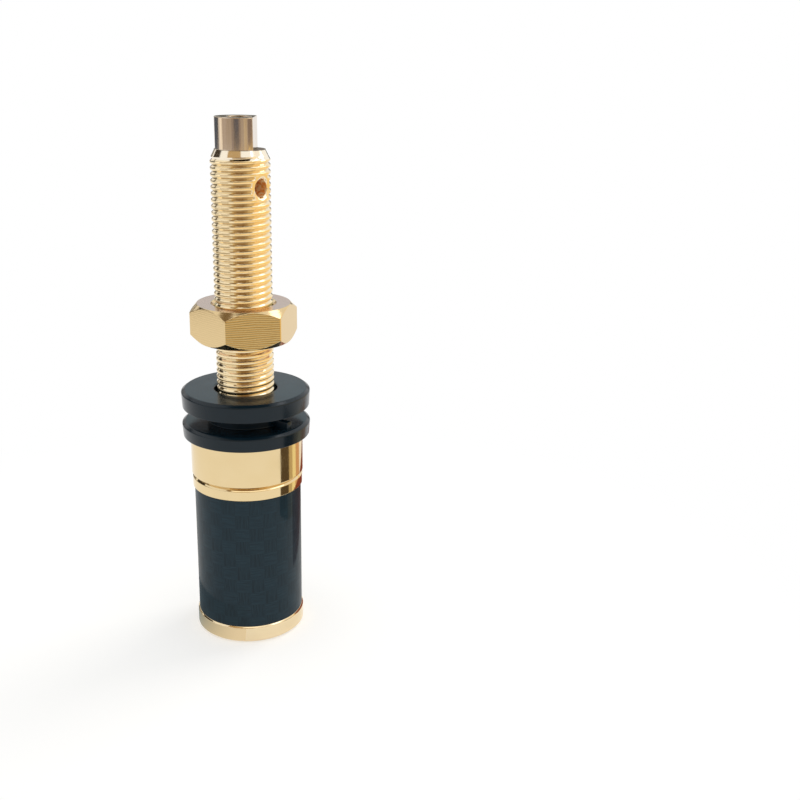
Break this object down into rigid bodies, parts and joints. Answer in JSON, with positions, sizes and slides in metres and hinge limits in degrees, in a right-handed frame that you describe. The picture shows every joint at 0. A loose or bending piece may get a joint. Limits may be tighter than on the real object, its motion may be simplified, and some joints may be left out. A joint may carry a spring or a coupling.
{
  "type": "binding post",
  "caption": "Panel binding post with a threaded gold-plated stem, solder tail, hexagon nut, insulating flanges and a carbon-fibre screw knob around a plug socket.",
  "frame": {"origin": "centre of the end cap's face, which the post stands on", "axes": "+Z along the post's axis from the end cap towards the solder tail; +X to the right and -Y towards the camera in the picture"},
  "size_m": [0.018, 0.018, 0.0733],
  "materials": {
    "gold_thread": "turned, threaded and gold plated, bright",
    "gold_nut": "gold plated, satin from the mill",
    "gold_polished": "polished and gold plated, mirror bright",
    "black_plastic": "moulded, satin to gloss",
    "carbon_fibre": "plain-weave carbon cloth under clear lacquer"
  },
  "bodies": {
    "post": {"threaded_shaft": "gold_thread", "collar_stud": "gold_polished", "front_insulator": "black_plastic"},
    "rear_washer": {"rear_insulator": "black_plastic"},
    "nut": {"hex_nut": "gold_nut"},
    "ring": {"clamp_ring": "gold_polished"},
    "knob": {"knob_body": "gold_polished", "carbon_sleeve": "carbon_fibre"}
  },
  "joints": [
    {"name": "rear_insulator_lift", "type": "slide", "parent": "post", "child": "rear_washer", "axis": [0, 0, 1], "range_m": [0, 0.003]},
    {"name": "nut_travel", "type": "slide", "parent": "post", "child": "nut", "axis": [0, 0, 1], "range_m": [-0.0039, 0.019]},
    {"name": "knob_travel", "type": "slide", "parent": "post", "child": "ring", "axis": [0, 0, -1], "range_m": [0, 0.008]},
    {"name": "knob_turn", "type": "hinge", "parent": "ring", "child": "knob", "pos_m": [0, 0, 0.012], "axis": [0, 0, -1], "range_deg": [0, 2880]}
  ],
  "couplings": [
    {"joint": "knob_travel", "follows": "knob_turn", "m_per_rad": 0.00015915}
  ]
}
